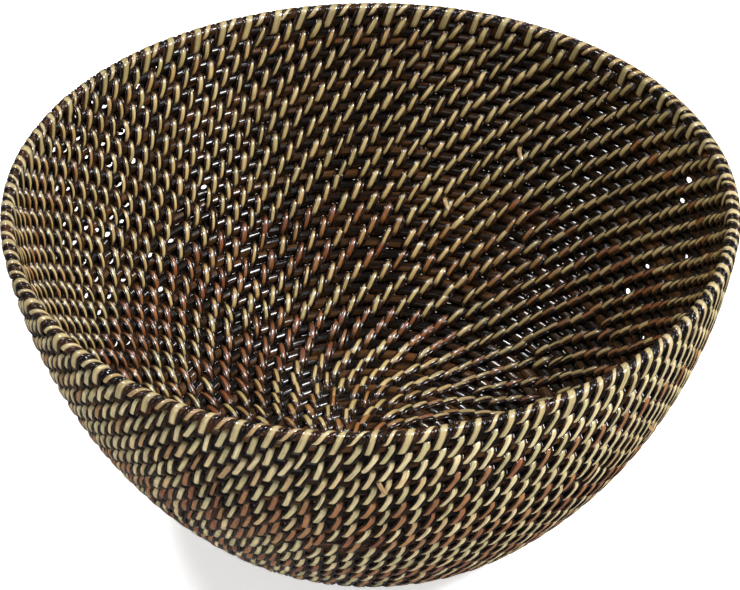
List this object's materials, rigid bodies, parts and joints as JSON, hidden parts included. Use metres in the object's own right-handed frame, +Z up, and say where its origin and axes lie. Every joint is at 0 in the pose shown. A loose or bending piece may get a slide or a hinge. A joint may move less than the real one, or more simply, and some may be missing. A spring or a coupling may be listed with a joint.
{
  "type": "woven fruit basket",
  "caption": "Round coiled rattan basket for fruit: a deep open bowl of rods wound turn on turn and bound with light and dark splints, with a small flat base.",
  "frame": {"origin": "middle of the flat underside of the base, on the surface that the basket stands on", "axes": "+Z up along the bowl's axis; the bowl is round, so +X and +Y are any two level directions at right angles"},
  "size_m": [0.3, 0.3, 0.146],
  "materials": {
    "rattan_rod": "black-brown stained rattan under a gloss varnish, worn matt on the outside",
    "light_splint": "split rattan skin, straw to olive and tan with some reddish brown, varnished",
    "dark_splint": "black-dyed split rattan, glossy varnish",
    "mixed_binding": "light and dark splints side by side, varnished"
  },
  "bodies": {
    "root": {"start_knot": "rattan_rod", "base_rod_1": "rattan_rod", "base_rod_2": "rattan_rod", "base_rod_3": "rattan_rod", "bend_rod_1": "rattan_rod", "bend_rod_2": "rattan_rod", "bend_rod_3": "rattan_rod", "bend_rod_4": "rattan_rod", "wall_rod_1": "rattan_rod", "wall_rod_2": "rattan_rod", "wall_rod_3": "rattan_rod", "wall_rod_4": "rattan_rod", "wall_rod_5": "rattan_rod", "wall_rod_6": "rattan_rod", "wall_rod_7": "rattan_rod", "wall_rod_8": "rattan_rod", "wall_rod_9": "rattan_rod", "wall_rod_10": "rattan_rod", "wall_rod_11": "rattan_rod", "wall_rod_12": "rattan_rod", "wall_rod_13": "rattan_rod", "rim_rod": "rattan_rod", "rim_light_long": "light_splint", "rim_light_short": "light_splint", "rim_dark_long": "dark_splint", "rim_dark_short": "dark_splint", "base_binding_under": "mixed_binding", "base_binding_over": "mixed_binding", "bend_binding_outside": "mixed_binding", "bend_binding_inside": "mixed_binding", "wall_binding_outside": "mixed_binding", "wall_binding_inside": "mixed_binding"}
  },
  "joints": []
}
